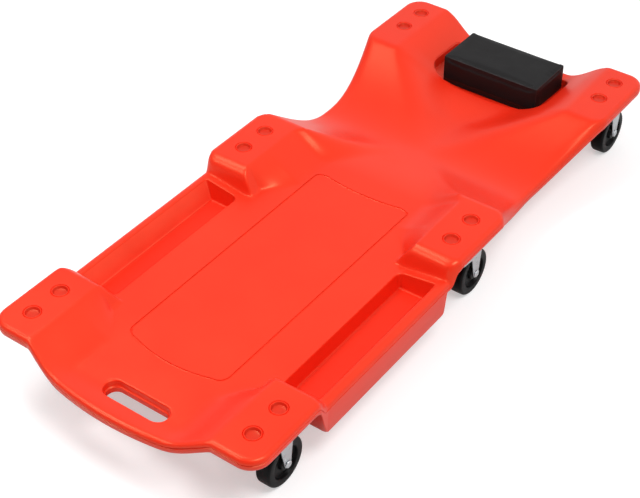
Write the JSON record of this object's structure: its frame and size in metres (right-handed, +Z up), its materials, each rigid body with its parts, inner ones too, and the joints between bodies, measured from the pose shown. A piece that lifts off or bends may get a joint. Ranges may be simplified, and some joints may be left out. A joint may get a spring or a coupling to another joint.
{
  "type": "mechanic creeper",
  "caption": "Low moulded plastic creeper on swivel casters, with a contoured bed, a padded headrest, side tool trays and a hand hole at the foot end.",
  "frame": {"origin": "on the floor, under the middle of the creeper's length and width", "axes": "+Y from the foot end with the hand hole to the head end with the headrest, +X to the right-hand tray, +Z up"},
  "size_m": [0.426, 1.006, 0.122],
  "materials": {
    "deck_plastic": "satin moulded polyethylene",
    "vinyl": "grained vinyl",
    "plywood": "raw plywood",
    "zinc_steel": "bright zinc plate",
    "wheel_plastic": "glossy moulded plastic"
  },
  "bodies": {
    "deck": {"deck": "deck_plastic", "headrest_pad": "vinyl", "headrest_board": "plywood", "headrest_screw_left": "zinc_steel", "headrest_screw_right": "zinc_steel", "foot_left_plate": "zinc_steel", "foot_left_kingpin": "zinc_steel", "foot_left_swivel_race": "zinc_steel", "foot_left_screw_foot": "zinc_steel", "foot_left_screw_head": "zinc_steel", "foot_right_plate": "zinc_steel", "foot_right_kingpin": "zinc_steel", "foot_right_swivel_race": "zinc_steel", "foot_right_screw_foot": "zinc_steel", "foot_right_screw_head": "zinc_steel", "mid_left_plate": "zinc_steel", "mid_left_kingpin": "zinc_steel", "mid_left_swivel_race": "zinc_steel", "mid_left_screw_foot": "zinc_steel", "mid_left_screw_head": "zinc_steel", "mid_right_plate": "zinc_steel", "mid_right_kingpin": "zinc_steel", "mid_right_swivel_race": "zinc_steel", "mid_right_screw_foot": "zinc_steel", "mid_right_screw_head": "zinc_steel", "head_left_plate": "zinc_steel", "head_left_kingpin": "zinc_steel", "head_left_swivel_race": "zinc_steel", "head_left_screw_foot": "zinc_steel", "head_left_screw_head": "zinc_steel", "head_right_plate": "zinc_steel", "head_right_kingpin": "zinc_steel", "head_right_swivel_race": "zinc_steel", "head_right_screw_foot": "zinc_steel", "head_right_screw_head": "zinc_steel"},
    "foot_left_swivel": {"foot_left_fork": "zinc_steel", "foot_left_axle": "zinc_steel"},
    "foot_left_wheel": {"foot_left_wheel": "wheel_plastic"},
    "foot_right_swivel": {"foot_right_fork": "zinc_steel", "foot_right_axle": "zinc_steel"},
    "foot_right_wheel": {"foot_right_wheel": "wheel_plastic"},
    "mid_left_swivel": {"mid_left_fork": "zinc_steel", "mid_left_axle": "zinc_steel"},
    "mid_left_wheel": {"mid_left_wheel": "wheel_plastic"},
    "mid_right_swivel": {"mid_right_fork": "zinc_steel", "mid_right_axle": "zinc_steel"},
    "mid_right_wheel": {"mid_right_wheel": "wheel_plastic"},
    "head_left_swivel": {"head_left_fork": "zinc_steel", "head_left_axle": "zinc_steel"},
    "head_left_wheel": {"head_left_wheel": "wheel_plastic"},
    "head_right_swivel": {"head_right_fork": "zinc_steel", "head_right_axle": "zinc_steel"},
    "head_right_wheel": {"head_right_wheel": "wheel_plastic"}
  },
  "joints": [
    {"name": "foot_left_swivel_turn", "type": "hinge", "parent": "deck", "child": "foot_left_swivel", "pos_m": [-0.1765, -0.411, 0.0747], "axis": [0, 0, 1], "continuous": true},
    {"name": "foot_left_wheel_roll", "type": "hinge", "parent": "foot_left_swivel", "child": "foot_left_wheel", "pos_m": [-0.1765, -0.388, 0.035], "axis": [1, 0, 0], "continuous": true},
    {"name": "foot_right_swivel_turn", "type": "hinge", "parent": "deck", "child": "foot_right_swivel", "pos_m": [0.1765, -0.411, 0.0747], "axis": [0, 0, 1], "continuous": true},
    {"name": "foot_right_wheel_roll", "type": "hinge", "parent": "foot_right_swivel", "child": "foot_right_wheel", "pos_m": [0.1765, -0.388, 0.035], "axis": [1, 0, 0], "continuous": true},
    {"name": "mid_left_swivel_turn", "type": "hinge", "parent": "deck", "child": "mid_left_swivel", "pos_m": [-0.1765, 0.0235, 0.0747], "axis": [0, 0, 1], "continuous": true},
    {"name": "mid_left_wheel_roll", "type": "hinge", "parent": "mid_left_swivel", "child": "mid_left_wheel", "pos_m": [-0.1765, 0.0465, 0.035], "axis": [1, 0, 0], "continuous": true},
    {"name": "mid_right_swivel_turn", "type": "hinge", "parent": "deck", "child": "mid_right_swivel", "pos_m": [0.1765, 0.0235, 0.0747], "axis": [0, 0, 1], "continuous": true},
    {"name": "mid_right_wheel_roll", "type": "hinge", "parent": "mid_right_swivel", "child": "mid_right_wheel", "pos_m": [0.1765, 0.0465, 0.035], "axis": [1, 0, 0], "continuous": true},
    {"name": "head_left_swivel_turn", "type": "hinge", "parent": "deck", "child": "head_left_swivel", "pos_m": [-0.1765, 0.439, 0.0747], "axis": [0, 0, 1], "continuous": true},
    {"name": "head_left_wheel_roll", "type": "hinge", "parent": "head_left_swivel", "child": "head_left_wheel", "pos_m": [-0.1765, 0.462, 0.035], "axis": [1, 0, 0], "continuous": true},
    {"name": "head_right_swivel_turn", "type": "hinge", "parent": "deck", "child": "head_right_swivel", "pos_m": [0.1765, 0.439, 0.0747], "axis": [0, 0, 1], "continuous": true},
    {"name": "head_right_wheel_roll", "type": "hinge", "parent": "head_right_swivel", "child": "head_right_wheel", "pos_m": [0.1765, 0.462, 0.035], "axis": [1, 0, 0], "continuous": true}
  ]
}
